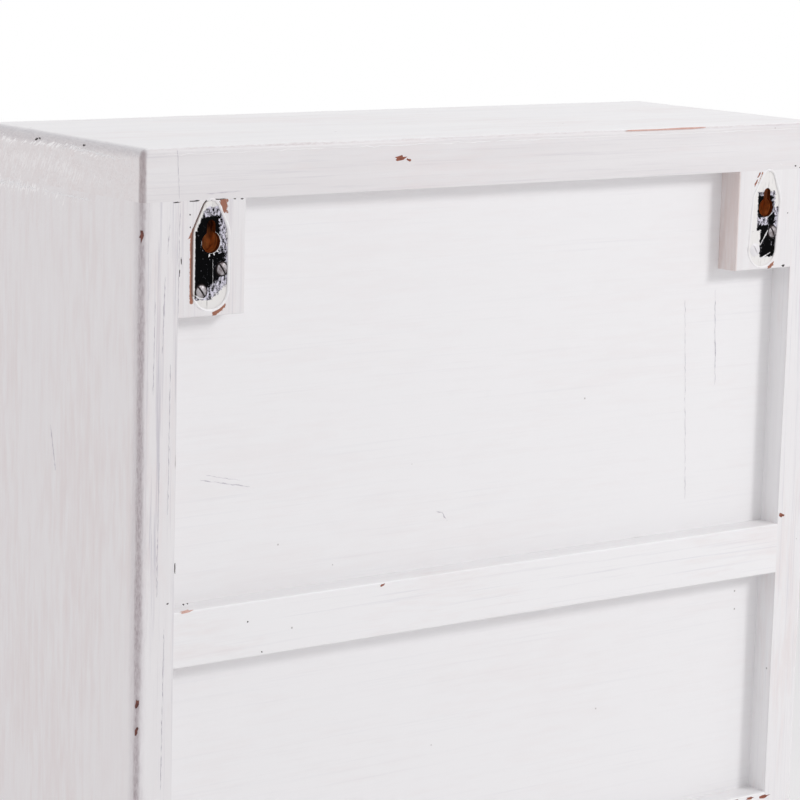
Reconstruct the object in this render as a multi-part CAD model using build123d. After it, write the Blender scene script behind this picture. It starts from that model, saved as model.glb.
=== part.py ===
from build123d import *
from math import cos, radians, sin
import os

os.makedirs("parts", exist_ok=True)

# Wall cabinet of painted boards with a mirror door, in millimetres.
# X runs to the right as seen from the front, Y from the front to the back, Z up.
# The origin is under the middle of the whole outline, on the plane of the bottom.

# Case boards
case_width = 377.0
case_depth = 130.0
case_height = 480.0
top_thickness = 22.0
bottom_thickness = 22.0
side_thickness = 18.0
arris_radius = 2.4
top_end_radius = 4.5

# Back panel, let into grooves
back_recess = 12.0
panel_thickness = 5.0
groove_depth = 6.0
panel_play = 0.5

# Back rails, planted on the panel
rail_height = 24.0
rail_drop = 191.5
rail_pitch = 132.8
rail_count = 2
rail_arris = 0.8

# Hanger blocks in the upper back corners
right_block_width = 32.5
right_block_height = 47.5
left_block_width = 35.0
left_block_height = 46.2
block_arris = 0.6

# Keyhole plates, drawn about the centre of their round hole
plate_thickness = 2.0
plate_sunk = 0.8
plate_half_width = 8.5
plate_foot_drop = 19.2
plate_shoulder_rise = 3.0
plate_crown_radius = 4.0
plate_crown_rise = 13.3
plate_edge_break = 0.4
keyhole_radius = 4.4
keyhole_slot_width = 4.2
keyhole_slot_rise = 7.0
mortise_play = 0.7
mortise_offset = 0.5
pocket_play = 1.0
pocket_depth = 7.0
plate_top_gap = 0.1
right_keyhole_inset = 33.9
left_keyhole_inset = 34.8
right_plate_tilt = 0.0
left_plate_tilt = -4.0

# Plate screws, with low round heads
plate_screw_high_side = 5.5
plate_screw_high_drop = 11.2
plate_screw_high_turn = 124.0
plate_screw_low_side = 4.5
plate_screw_low_drop = 19.9
plate_screw_low_turn = 127.0
plate_screw_head = 3.1
plate_screw_head_rise = 0.7
plate_screw_shank = 1.4
plate_screw_length = 9.5
screw_slot_width = 0.8
screw_slot_depth = 0.5

# Nails, sunk and filled
nail_radius = 1.1
nail_sunk = 1.5
case_nail_length = 48.0
case_nail_end_margin = 20.0
case_nail_count = 3
rail_nail_length = 30.0
rail_nail_margin = 30.0
rail_nail_count = 4
block_nail_length = 13.0
block_nail_count = 2
block_nail_margin = 5.0

# Shelves and the cleats under them
shelf_thickness = 15.0
shelf_depth = 86.0
shelf_play = 0.5
shelf_arris = 1.5
cleat_width = 12.0
cleat_height = 14.0
cleat_length = 78.0
cleat_arris = 1.0
cleat_screw_count = 2
cleat_screw_margin = 14.0
cleat_screw_head = 3.0
cleat_screw_shank = 1.5
cleat_screw_length = 22.0

# Door frame, set in between the boards
door_gap = 2.0
door_thickness = 20.0
stile_width = 42.0
door_rail_height = 42.0
rebate_width = 8.0
rebate_depth = 12.0
tenon_length = 24.0
tenon_thickness = 7.0
tenon_inset = 6.0
door_arris = 1.2
sight_bevel = 4.0
sight_bevel_depth = 3.0

# Mirror and what holds it
mirror_thickness = 4.0
mirror_play = 1.0
mirror_edge_break = 0.8
backing_thickness = 3.0
bead_width = 12.0
bead_arris = 1.0
pin_radius = 0.7
pin_length = 17.0
side_pin_count = 4
end_pin_count = 3
pin_margin = 40.0

# Butt hinges
hinge_length = 50.0
hinge_margin = 58.0
knuckle_count = 5
knuckle_radius = 3.0
knuckle_play = 0.25
knuckle_stand_off = 0.4
leaf_thickness = 1.2
leaf_width = 16.0
leaf_sunk = 0.5
leaf_play = 0.4
hinge_pin_radius = 1.3
hinge_pin_clearance = 0.05
pin_cap_radius = 2.2
pin_cap_height = 1.0
hinge_screw_count = 3
hinge_screw_head = 2.6
hinge_screw_shank = 1.4
hinge_screw_length = 13.0
hinge_screw_margin = 8.0

# Knob, turned, and its screw
knob_length = 24.0
knob_foot_radius = 7.0
knob_neck_radius = 5.0
knob_head_radius = 12.0
knob_foot_height = 3.0
knob_neck_height = 8.0
knob_screw_radius = 2.0
knob_screw_reach = 14.0
knob_screw_head_radius = 4.0
knob_screw_head_height = 2.0

# Magnetic catch
catch_drop = 98.0
catch_length = 46.0
catch_width = 14.0
catch_depth = 15.0
catch_lug_thickness = 3.0
catch_core_length = 26.0
catch_gap = 0.2
magnet_thickness = 5.0
pole_thickness = 1.5
pole_depth = 12.0
pole_proud = 0.4
pole_end_margin = 2.0
catch_screw_head = 2.8
catch_screw_shank = 1.4
catch_screw_length = 14.0
strike_length = 38.0
strike_width = 11.0
strike_thickness = 1.2
strike_screw_margin = 6.0
strike_screw_head = 2.4
strike_screw_shank = 1.3
strike_screw_length = 11.0

# Places that follow from the sizes
back_y = (case_depth + knob_length) / 2
front_y = back_y - case_depth
half_width = case_width / 2
inner_half = half_width - side_thickness
floor_z = bottom_thickness
ceiling_z = case_height - top_thickness
panel_back_y = back_y - back_recess
panel_front_y = panel_back_y - panel_thickness
rail_tops = [case_height - rail_drop - number * rail_pitch for number in range(rail_count)]
rail_mids = [rail_top - rail_height / 2 for rail_top in rail_tops]
keyhole_z = ceiling_z - plate_top_gap - plate_crown_radius - plate_crown_rise

hinge_gap = 2 * (leaf_thickness - leaf_sunk) + leaf_play
door_left = -inner_half + hinge_gap
door_right = inner_half - door_gap
door_low = floor_z + door_gap
door_high = ceiling_z - door_gap
door_middle_x = (door_left + door_right) / 2
door_middle_z = (door_low + door_high) / 2
door_height = door_high - door_low
door_back_y = front_y + door_thickness
rebate_y = door_back_y - rebate_depth
sight_width = door_right - door_left - 2 * stile_width
sight_height = door_height - 2 * door_rail_height
backing_y = rebate_y + mirror_thickness
bead_y = backing_y + backing_thickness
axis_x = -inner_half + hinge_gap / 2
axis_y = front_y - knuckle_radius - knuckle_stand_off
knuckle_pitch = hinge_length / knuckle_count
hinge_mids = [door_high - hinge_margin, door_low + hinge_margin]
knob_x = door_right - stile_width / 2
catch_y = door_back_y + strike_thickness + catch_gap
catch_mid = ceiling_z - catch_drop

outward_back = (0, 1, 0)
outward_front = (0, -1, 0)
down = (0, 0, -1)
to_left = (-1, 0, 0)


def block(x_low, x_high, y_low, y_high, z_low, z_high):
    size = Box(x_high - x_low, y_high - y_low, z_high - z_low)
    return Pos((x_low + x_high) / 2, (y_low + y_high) / 2, (z_low + z_high) / 2) * size


def facing(point, direction):
    return Plane(origin=point, z_dir=direction).location


def evenly(low, high, count):
    step = (high - low) / (count - 1)
    return [low + step * number for number in range(count)]


def rod(radius, length):
    # Runs down from its own origin, where its outer end lies
    return Pos(0, 0, -length / 2) * Cylinder(radius, length)


def countersunk_screw(head, shank, length, slotted):
    # The head's flat face lies at the screw's own origin
    cone_height = head - shank
    cone = Pos(0, 0, -cone_height / 2) * Cone(shank, head, cone_height)
    screw = cone + rod(shank, length)
    if slotted:
        screw -= Box(3 * head, screw_slot_width, 2 * screw_slot_depth)
    return screw


def round_head(head, rise):
    # Low dome cut from a ball, its flat side at its own origin
    ball = (head * head + rise * rise) / (2 * rise)
    dome = Pos(0, 0, rise - ball) * Sphere(ball)
    return dome & Pos(0, 0, rise) * Box(4 * head, 4 * head, 2 * rise)


def add_all(pieces):
    whole = Part()
    for piece in pieces:
        whole += piece
    return whole


def on_plane(value, place):
    return abs(value - place) < 0.01


def is_front_or_back(edge):
    y = edge.center().Y
    return on_plane(y, front_y) or on_plane(y, back_y)


# Nails of the case

def case_nail_places():
    places = evenly(front_y + case_nail_end_margin, back_y - case_nail_end_margin, case_nail_count)
    side_middle = half_width - side_thickness / 2
    return [(sign * side_middle, y) for sign in (-1, 1) for y in places]


def top_nails():
    nail = rod(nail_radius, case_nail_length)
    return [Pos(x, y, case_height - nail_sunk) * nail for x, y in case_nail_places()]


def bottom_nails():
    nail = rod(nail_radius, case_nail_length)
    return [facing((x, y, nail_sunk), down) * nail for x, y in case_nail_places()]


def rail_nails():
    nail = rod(nail_radius, rail_nail_length)
    places = evenly(-inner_half + rail_nail_margin, inner_half - rail_nail_margin, rail_nail_count)
    nails = []
    for rail_mid in rail_mids:
        for x in places:
            nails.append(facing((x, back_y - nail_sunk, rail_mid), outward_back) * nail)
    return nails


def block_nails():
    nail = rod(nail_radius, block_nail_length)
    nails = []
    for sign, width, height in ((1, right_block_width, right_block_height),
                                (-1, left_block_width, left_block_height)):
        x = sign * (inner_half - width + block_nail_margin)
        low = ceiling_z - height + block_nail_margin
        high = ceiling_z - block_nail_margin
        for z in evenly(low, high, block_nail_count):
            nails.append(facing((x, back_y - nail_sunk, z), outward_back) * nail)
    return nails


# Case boards

def top_board():
    # The upper ends are rounded first, then what is left of the front and back outline
    board = block(-half_width, half_width, front_y, back_y, ceiling_z, case_height)
    ends = board.faces().sort_by(Axis.Z)[-1].edges().filter_by(Axis.Y)
    board = fillet(ends, top_end_radius)
    outline = [edge for edge in board.edges() if is_front_or_back(edge)
               and not on_plane(edge.center().Z, ceiling_z)]
    board = fillet(outline, arris_radius)
    groove_half = inner_half + groove_depth
    board -= block(-groove_half, groove_half, panel_front_y, panel_back_y,
                   ceiling_z - groove_depth, ceiling_z + groove_depth)
    return board - top_nails()


def bottom_board():
    board = block(-half_width, half_width, front_y, back_y, 0, bottom_thickness)
    outline = [edge for edge in board.edges() if not on_plane(edge.center().Z, floor_z)]
    board = fillet(outline, arris_radius)
    groove_half = inner_half + groove_depth
    board -= block(-groove_half, groove_half, panel_front_y, panel_back_y,
                   floor_z - groove_depth, floor_z + groove_depth)
    return board - bottom_nails()


def side_board(sign):
    inner = sign * inner_half
    outer = sign * half_width
    board = block(min(inner, outer), max(inner, outer), front_y, back_y, floor_z, ceiling_z)
    upright = board.edges().filter_by(Axis.Z)
    board = fillet([edge for edge in upright if on_plane(edge.center().X, outer)], arris_radius)
    groove_floor = inner + sign * groove_depth
    board -= block(min(inner, groove_floor), max(inner, groove_floor), panel_front_y, panel_back_y,
                   floor_z, ceiling_z)
    board -= top_nails()
    board -= bottom_nails()
    board -= cleat_screws(sign, False)
    return board


def right_side():
    return side_board(1) - catch_screws(False)


def left_side():
    board = side_board(-1)
    for middle in hinge_mids:
        board -= leaf_bed(middle, -1)
    return board - hinge_screws(-1, False)


def back_panel():
    reach = groove_depth - panel_play
    panel = block(-inner_half - reach, inner_half + reach, panel_front_y, panel_back_y,
                  floor_z - reach, ceiling_z + reach)
    panel -= rail_nails()
    return panel - block_nails()


def back_rail(rail_top):
    rail = block(-inner_half, inner_half, panel_back_y, back_y, rail_top - rail_height, rail_top)
    along = rail.edges().filter_by(Axis.X)
    rail = fillet([edge for edge in along if on_plane(edge.center().Y, back_y)], rail_arris)
    return rail - rail_nails()


# Hanger blocks and keyhole plates

def keyhole_plane(sign, y):
    inset = right_keyhole_inset if sign > 0 else left_keyhole_inset
    tilt = right_plate_tilt if sign > 0 else left_plate_tilt
    lean = radians(tilt)
    origin = (sign * (half_width - inset), y, keyhole_z)
    return Plane(origin=origin, x_dir=(-cos(lean), 0, sin(lean)), z_dir=outward_back)


def plate_outline(grow):
    foot = Pos(0, -plate_foot_drop) * Circle(plate_half_width + grow)
    shoulder = Pos(0, plate_shoulder_rise) * Circle(plate_half_width + grow)
    crown = Pos(0, plate_crown_rise) * Circle(plate_crown_radius + grow)
    return make_hull(foot.edges() + shoulder.edges() + crown.edges())


def keyhole_outline(grow):
    hole = Circle(keyhole_radius + grow)
    slot_radius = keyhole_slot_width / 2 + grow
    slot = Pos(0, keyhole_slot_rise / 2) * Rectangle(2 * slot_radius, keyhole_slot_rise)
    slot_end = Pos(0, keyhole_slot_rise) * Circle(slot_radius)
    return hole + slot + slot_end


def pocket_outline():
    radius = keyhole_radius + pocket_play
    low = Circle(radius)
    high = Pos(0, keyhole_slot_rise) * Circle(radius)
    return low + high + Pos(0, keyhole_slot_rise / 2) * Rectangle(2 * radius, keyhole_slot_rise)


def plate_screws(sign, slotted):
    plane = keyhole_plane(sign, back_y - plate_sunk)
    places = ((plate_screw_high_side, -plate_screw_high_drop),
              (-plate_screw_low_side, -plate_screw_low_drop))
    turns = (plate_screw_high_turn, plate_screw_low_turn)
    screws = []
    for place, turn in zip(places, turns):
        screw = rod(plate_screw_shank, plate_screw_length)
        if slotted:
            screw += round_head(plate_screw_head, plate_screw_head_rise)
            slot = Box(3 * plate_screw_head, screw_slot_width, 2 * screw_slot_depth)
            screw -= Pos(0, 0, plate_screw_head_rise) * slot
        screws.append(plane.location * Pos(*place) * Rot(0, 0, turn) * screw)
    return screws


def hanger_plate(sign):
    plane = keyhole_plane(sign, back_y - plate_sunk)
    plate = extrude(plate_outline(0), -plate_thickness)
    top_edges = plate.faces().sort_by(Axis.Z)[-1].edges()
    plate = fillet(top_edges, plate_edge_break)
    plate -= extrude(keyhole_outline(0), -plate_thickness)
    plate = plane.location * plate
    return plate - plate_screws(sign, False)


def hanger_block(sign):
    width = right_block_width if sign > 0 else left_block_width
    height = right_block_height if sign > 0 else left_block_height
    near = sign * inner_half
    far = sign * (inner_half - width)
    body = block(min(near, far), max(near, far), panel_back_y, back_y, ceiling_z - height, ceiling_z)
    free = [edge for edge in body.edges() if on_plane(edge.center().Y, back_y)
            and (on_plane(edge.center().X, far) or on_plane(edge.center().Z, ceiling_z - height))]
    body = fillet(free, block_arris)
    plane = keyhole_plane(sign, back_y)
    mortise_depth = plate_sunk + plate_thickness
    mortise = extrude(plate_outline(mortise_play), -mortise_depth)
    body -= plane.location * Pos(-mortise_offset, 0, 0) * mortise
    pocket = extrude(pocket_outline(), -mortise_depth - pocket_depth)
    body -= plane.location * pocket
    body -= plate_screws(sign, False)
    return body - block_nails()


# Shelves and cleats

def shelf(rail_mid):
    half = inner_half - shelf_play
    low = rail_mid - shelf_thickness / 2
    board = block(-half, half, panel_front_y - shelf_depth, panel_front_y, low, low + shelf_thickness)
    front_edges = [edge for edge in board.edges().filter_by(Axis.X)
                   if on_plane(edge.center().Y, panel_front_y - shelf_depth)]
    return fillet(front_edges, shelf_arris) - rail_nails()


def cleat_screws(sign, slotted):
    screw = countersunk_screw(cleat_screw_head, cleat_screw_shank, cleat_screw_length, slotted)
    x = sign * (inner_half - cleat_width)
    low = panel_front_y - cleat_length + cleat_screw_margin
    high = panel_front_y - cleat_screw_margin
    screws = []
    for rail_mid in rail_mids:
        z = rail_mid - shelf_thickness / 2 - cleat_height / 2
        for y in evenly(low, high, cleat_screw_count):
            screws.append(facing((x, y, z), (-sign, 0, 0)) * screw)
    return screws


def shelf_cleats(sign):
    near = sign * inner_half
    far = sign * (inner_half - cleat_width)
    cleats = []
    for rail_mid in rail_mids:
        high = rail_mid - shelf_thickness / 2
        cleat = block(min(near, far), max(near, far), panel_front_y - cleat_length, panel_front_y,
                      high - cleat_height, high)
        soft = [edge for edge in cleat.edges() if on_plane(edge.center().X, far)
                and not on_plane(edge.center().Z, high)]
        cleats.append(fillet(soft, cleat_arris))
    return add_all(cleats) - cleat_screws(sign, False)


# Door frame

def stile(sign):
    outer = door_right if sign > 0 else door_left
    inner = outer - sign * stile_width
    body = block(min(inner, outer), max(inner, outer), front_y, door_back_y, door_low, door_high)
    upright = body.edges().filter_by(Axis.Z)
    body = fillet([edge for edge in upright if on_plane(edge.center().X, outer)
                   and on_plane(edge.center().Y, front_y)], door_arris)
    wall = inner + sign * rebate_width
    body -= block(min(inner, wall), max(inner, wall), rebate_y, door_back_y, door_low, door_high)
    for rail_low in (door_low, door_high - door_rail_height):
        body -= tenon_pair(rail_low)
    body -= sight_splay()
    return body - bead_pins()


def sight_splay():
    # The space in front of the mirror, wider at the front by the bevel round the opening
    front = Plane(origin=(door_middle_x, front_y, door_middle_z), x_dir=(1, 0, 0), z_dir=outward_back)
    wide = Rectangle(sight_width + 2 * sight_bevel, sight_height + 2 * sight_bevel)
    narrow = Rectangle(sight_width, sight_height)
    back = front.offset(sight_bevel_depth)
    return loft([front * wide, back * narrow])


def tenon_pair(rail_low):
    half = sight_width / 2 + rebate_width + tenon_length
    low = rail_low + tenon_inset
    high = rail_low + door_rail_height - rebate_width - tenon_inset
    if rail_low > door_middle_z:
        low += rebate_width
        high += rebate_width
    return block(door_middle_x - half, door_middle_x + half, rebate_y, rebate_y + tenon_thickness,
                 low, high)


def door_rail(rail_low):
    rail_high = rail_low + door_rail_height
    lip_half = sight_width / 2
    body_half = lip_half + rebate_width
    body = block(door_middle_x - lip_half, door_middle_x + lip_half, front_y, rebate_y,
                 rail_low, rail_high)
    low = rail_low + rebate_width if rail_low > door_middle_z else rail_low
    high = low + door_rail_height - rebate_width
    body += block(door_middle_x - body_half, door_middle_x + body_half, rebate_y, door_back_y,
                  low, high)
    body += tenon_pair(rail_low)
    outer_z = rail_high if rail_low > door_middle_z else rail_low
    front_edges = [edge for edge in body.edges().filter_by(Axis.X)
                   if on_plane(edge.center().Z, outer_z) and on_plane(edge.center().Y, front_y)]
    body = fillet(front_edges, door_arris) - sight_splay()
    return body - bead_pins()


def door_hinge_stile():
    body = stile(-1)
    for middle in hinge_mids:
        body -= leaf_bed(middle, 1)
    return body - hinge_screws(1, False)


def door_latch_stile():
    body = stile(1) - strike_screws(False)
    return body - knob_screw()


# Mirror, backing, beads and pins

def pane(low_y, thickness):
    half_x = sight_width / 2 + rebate_width - mirror_play
    half_z = sight_height / 2 + rebate_width - mirror_play
    return block(door_middle_x - half_x, door_middle_x + half_x, low_y, low_y + thickness,
                 door_middle_z - half_z, door_middle_z + half_z)


def mirror_glass():
    glass = pane(rebate_y, mirror_thickness)
    front_edges = glass.faces().sort_by(Axis.Y)[0].edges()
    return chamfer(front_edges, mirror_edge_break)


def mirror_backing():
    return pane(bead_y - backing_thickness, backing_thickness)


def bead_pins():
    # Pins run sideways through the beads into the wall of the rebate
    pin = rod(pin_radius, pin_length)
    y = (bead_y + door_back_y) / 2
    half_x = sight_width / 2 + rebate_width - bead_width
    half_z = sight_height / 2 + rebate_width - bead_width
    pins = []
    for sign in (-1, 1):
        reach_z = sight_height / 2 - pin_margin
        for z in evenly(door_middle_z - reach_z, door_middle_z + reach_z, side_pin_count):
            pins.append(facing((door_middle_x + sign * half_x, y, z), (-sign, 0, 0)) * pin)
        reach_x = sight_width / 2 - pin_margin
        for x in evenly(door_middle_x - reach_x, door_middle_x + reach_x, end_pin_count):
            pins.append(facing((x, y, door_middle_z + sign * half_z), (0, 0, -sign)) * pin)
    return pins


def mirror_side_beads():
    wall = sight_width / 2 + rebate_width
    half_z = sight_height / 2 + rebate_width
    beads = []
    for sign in (-1, 1):
        outer = door_middle_x + sign * wall
        inner = outer - sign * bead_width
        bead = block(min(inner, outer), max(inner, outer), bead_y, door_back_y,
                     door_middle_z - half_z, door_middle_z + half_z)
        soft = [edge for edge in bead.edges().filter_by(Axis.Z)
                if on_plane(edge.center().X, inner) and on_plane(edge.center().Y, door_back_y)]
        beads.append(fillet(soft, bead_arris))
    return add_all(beads) - bead_pins()


def mirror_end_beads():
    half_x = sight_width / 2 + rebate_width - bead_width
    wall = sight_height / 2 + rebate_width
    beads = []
    for sign in (-1, 1):
        outer = door_middle_z + sign * wall
        inner = outer - sign * bead_width
        bead = block(door_middle_x - half_x, door_middle_x + half_x, bead_y, door_back_y,
                     min(inner, outer), max(inner, outer))
        soft = [edge for edge in bead.edges().filter_by(Axis.X)
                if on_plane(edge.center().Z, inner) and on_plane(edge.center().Y, door_back_y)]
        beads.append(fillet(soft, bead_arris))
    return add_all(beads) - bead_pins()


# Hinges: side -1 is the leaf on the case, side 1 the leaf on the door

def leaf_face(side):
    # The plane of the board that the leaf is let into
    return axis_x + side * hinge_gap / 2


def leaf_slab(middle, side, low_y):
    outer = leaf_face(side) + side * leaf_sunk
    inner = outer - side * leaf_thickness
    return block(min(inner, outer), max(inner, outer), low_y, front_y + leaf_width,
                 middle - hinge_length / 2, middle + hinge_length / 2)


def leaf_bed(middle, side):
    return leaf_slab(middle, side, front_y)


def knuckle_spans(middle, side):
    low = middle - hinge_length / 2
    first = 0 if side < 0 else 1
    spans = []
    for number in range(first, knuckle_count, 2):
        span_low = low + number * knuckle_pitch
        span_high = span_low + knuckle_pitch
        if number > 0:
            span_low += knuckle_play / 2
        if number < knuckle_count - 1:
            span_high -= knuckle_play / 2
        spans.append((span_low, span_high))
    return spans


def hinge_leaf(middle, side):
    leaf = leaf_slab(middle, side, front_y)
    outer = leaf_face(side) + side * leaf_sunk
    inner = outer - side * leaf_thickness
    for span_low, span_high in knuckle_spans(middle, side):
        height = span_high - span_low
        span_mid = (span_low + span_high) / 2
        leaf += Pos(axis_x, axis_y, span_mid) * Cylinder(knuckle_radius, height)
        leaf += block(min(inner, outer), max(inner, outer), axis_y, front_y, span_low, span_high)
    bore = hinge_pin_radius if side < 0 else hinge_pin_radius + hinge_pin_clearance
    leaf -= Pos(axis_x, axis_y, middle) * Cylinder(bore, hinge_length)
    return leaf - hinge_screws(side, False)


def hinge_pin(middle):
    pin = Pos(axis_x, axis_y, middle) * Cylinder(hinge_pin_radius, hinge_length)
    cap_middle = hinge_length / 2 + pin_cap_height / 2
    for sign in (-1, 1):
        cap = Cylinder(pin_cap_radius, pin_cap_height)
        pin += Pos(axis_x, axis_y, middle + sign * cap_middle) * cap
    return pin


def hinge_screws(side, slotted):
    screw = countersunk_screw(hinge_screw_head, hinge_screw_shank, hinge_screw_length, slotted)
    x = leaf_face(side) + side * (leaf_sunk - leaf_thickness)
    reach = hinge_length / 2 - hinge_screw_margin
    screws = []
    for middle in hinge_mids:
        for z in evenly(middle - reach, middle + reach, hinge_screw_count):
            screws.append(facing((x, front_y + leaf_width / 2, z), (-side, 0, 0)) * screw)
    return screws


# Knob and catch

def knob_screw():
    place = facing((knob_x, door_back_y, door_middle_z), outward_back)
    shank = rod(knob_screw_radius, door_thickness + knob_screw_reach)
    head = Pos(0, 0, knob_screw_head_height / 2)
    head *= Cylinder(knob_screw_head_radius, knob_screw_head_height)
    slot = Box(3 * knob_screw_head_radius, screw_slot_width, 2 * screw_slot_depth)
    screw = shank + head - Pos(0, 0, knob_screw_head_height) * slot
    return place * screw


def door_knob():
    # Turned about its own axis: a foot, a neck and a full round head
    neck_top = knob_foot_height + knob_neck_height
    widest = (neck_top + knob_length) / 2
    outline = Polyline((0, 0), (knob_foot_radius, 0), (knob_foot_radius, knob_foot_height))
    outline += Spline((knob_foot_radius, knob_foot_height),
                      (knob_neck_radius, (knob_foot_height + neck_top) / 2),
                      (knob_head_radius, widest),
                      tangents=[(-1, 0), (0, 1)])
    outline += Spline((knob_head_radius, widest), (0, knob_length), tangents=[(0, 1), (-1, 0)])
    outline += Line((0, knob_length), (0, 0))
    profile = Plane.XZ * make_face(outline.edges())
    knob = revolve(profile, Axis.Z)
    return facing((knob_x, front_y, door_middle_z), outward_front) * knob - knob_screw()


def catch_housing():
    x_low = inner_half - catch_width
    low = catch_mid - catch_length / 2
    lug_y = catch_y + catch_depth
    front = catch_y + pole_proud
    body = block(x_low, inner_half, front, lug_y, catch_mid - catch_core_length / 2,
                 catch_mid + catch_core_length / 2)
    body += block(inner_half - catch_lug_thickness, inner_half, front, lug_y,
                  low, low + catch_length)
    body -= catch_magnet()
    body -= catch_poles()
    return body - catch_screws(False)


def catch_stack_middle():
    return inner_half - catch_width / 2


def catch_magnet():
    middle = catch_stack_middle()
    reach = catch_core_length / 2 - pole_end_margin
    return block(middle - magnet_thickness / 2, middle + magnet_thickness / 2,
                 catch_y + 2 * pole_proud, catch_y + pole_depth, catch_mid - reach, catch_mid + reach)


def catch_poles():
    middle = catch_stack_middle()
    reach = catch_core_length / 2 - pole_end_margin
    poles = []
    for sign in (-1, 1):
        inner = middle + sign * magnet_thickness / 2
        outer = inner + sign * pole_thickness
        poles.append(block(min(inner, outer), max(inner, outer), catch_y, catch_y + pole_depth,
                           catch_mid - reach, catch_mid + reach))
    return add_all(poles)


def catch_screws(slotted):
    screw = countersunk_screw(catch_screw_head, catch_screw_shank, catch_screw_length, slotted)
    reach = (catch_length + catch_core_length) / 4
    y = catch_y + catch_depth / 2
    x = inner_half - catch_lug_thickness
    return [facing((x, y, catch_mid + sign * reach), to_left) * screw for sign in (-1, 1)]


def strike_middle():
    return door_right - strike_width / 2 - door_gap


def strike_plate():
    half = strike_width / 2
    middle = strike_middle()
    plate = block(middle - half, middle + half, door_back_y, door_back_y + strike_thickness,
                  catch_mid - strike_length / 2, catch_mid + strike_length / 2)
    corners = plate.edges().filter_by(Axis.Y)
    return fillet(corners, strike_width / 4) - strike_screws(False)


def strike_screws(slotted):
    screw = countersunk_screw(strike_screw_head, strike_screw_shank, strike_screw_length, slotted)
    y = door_back_y + strike_thickness
    reach = strike_length / 2 - strike_screw_margin
    return [facing((strike_middle(), y, catch_mid + sign * reach), outward_back) * screw
            for sign in (-1, 1)]


upper_rail_mid, lower_rail_mid = rail_mids
upper_hinge_mid, lower_hinge_mid = hinge_mids

nodes = {
    "top_board": top_board(),
    "bottom_board": bottom_board(),
    "left_side": left_side(),
    "right_side": right_side(),
    "back_panel": back_panel(),
    "upper_back_rail": back_rail(rail_tops[0]),
    "lower_back_rail": back_rail(rail_tops[1]),
    "left_hanger_block": hanger_block(-1),
    "right_hanger_block": hanger_block(1),
    "left_hanger_plate": hanger_plate(-1),
    "right_hanger_plate": hanger_plate(1),
    "left_plate_screws": Compound(plate_screws(-1, True)),
    "right_plate_screws": Compound(plate_screws(1, True)),
    "top_nails": Compound(top_nails()),
    "bottom_nails": Compound(bottom_nails()),
    "rail_nails": Compound(rail_nails()),
    "block_nails": Compound(block_nails()),
    "upper_shelf": shelf(upper_rail_mid),
    "lower_shelf": shelf(lower_rail_mid),
    "left_shelf_cleats": shelf_cleats(-1),
    "right_shelf_cleats": shelf_cleats(1),
    "cleat_screws": Compound(cleat_screws(-1, True) + cleat_screws(1, True)),
    "door_hinge_stile": door_hinge_stile(),
    "door_latch_stile": door_latch_stile(),
    "door_top_rail": door_rail(door_high - door_rail_height),
    "door_bottom_rail": door_rail(door_low),
    "mirror_glass": mirror_glass(),
    "mirror_backing": mirror_backing(),
    "mirror_side_beads": mirror_side_beads(),
    "mirror_end_beads": mirror_end_beads(),
    "bead_pins": Compound(bead_pins()),
    "upper_hinge_case_leaf": hinge_leaf(upper_hinge_mid, -1),
    "upper_hinge_door_leaf": hinge_leaf(upper_hinge_mid, 1),
    "upper_hinge_pin": hinge_pin(upper_hinge_mid),
    "lower_hinge_case_leaf": hinge_leaf(lower_hinge_mid, -1),
    "lower_hinge_door_leaf": hinge_leaf(lower_hinge_mid, 1),
    "lower_hinge_pin": hinge_pin(lower_hinge_mid),
    "hinge_case_screws": Compound(hinge_screws(-1, True)),
    "hinge_door_screws": Compound(hinge_screws(1, True)),
    "door_knob": door_knob(),
    "knob_screw": knob_screw(),
    "catch_housing": catch_housing(),
    "catch_magnet": catch_magnet(),
    "catch_poles": catch_poles(),
    "catch_screws": Compound(catch_screws(True)),
    "strike_plate": strike_plate(),
    "strike_screws": Compound(strike_screws(True)),
}

for name, solid in nodes.items():
    export_step(solid, f"parts/{name}.step")
    print(name)
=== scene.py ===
import math

import bmesh
import bpy
from mathutils import Matrix, Vector, noise


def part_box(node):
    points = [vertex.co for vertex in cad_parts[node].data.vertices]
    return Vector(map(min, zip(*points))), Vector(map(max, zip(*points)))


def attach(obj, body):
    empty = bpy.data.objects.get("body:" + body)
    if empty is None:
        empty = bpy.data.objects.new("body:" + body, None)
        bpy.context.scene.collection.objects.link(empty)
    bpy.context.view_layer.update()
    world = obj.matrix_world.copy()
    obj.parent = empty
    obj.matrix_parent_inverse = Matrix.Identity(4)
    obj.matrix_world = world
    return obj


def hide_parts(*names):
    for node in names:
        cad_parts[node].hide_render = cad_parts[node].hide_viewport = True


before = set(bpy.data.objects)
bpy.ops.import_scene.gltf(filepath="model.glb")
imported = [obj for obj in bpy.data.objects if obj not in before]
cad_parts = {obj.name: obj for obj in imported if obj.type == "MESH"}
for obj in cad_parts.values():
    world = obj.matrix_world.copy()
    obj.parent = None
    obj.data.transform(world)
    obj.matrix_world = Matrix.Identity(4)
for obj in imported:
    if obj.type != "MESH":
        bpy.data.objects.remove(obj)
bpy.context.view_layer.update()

mm = 0.001
print("frame loaded:", len(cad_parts), "nodes")


def toLinear(code):
    values = []
    for start in (0, 2, 4):
        part = int(code[start:start + 2], 16) / 255
        values.append(part / 12.92 if part <= 0.04045 else ((part + 0.055) / 1.055) ** 2.4)
    return (*values, 1.0)


def setInputs(tree, node, inputs):
    # Inputs come by name, or as a list in the order of the node's live sockets. Each is a plain value,
    # a socket, or a node whose first live output is meant.
    if isinstance(inputs, list):
        pairs = zip([socket for socket in node.inputs if socket.enabled], inputs)
    else:
        pairs = [(node.inputs[name], value) for name, value in inputs.items()]
    for socket, value in pairs:
        if isinstance(value, bpy.types.Node):
            value = next(output for output in value.outputs if output.enabled)
        if isinstance(value, bpy.types.NodeSocket):
            tree.links.new(value, socket)
        else:
            socket.default_value = value


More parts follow.
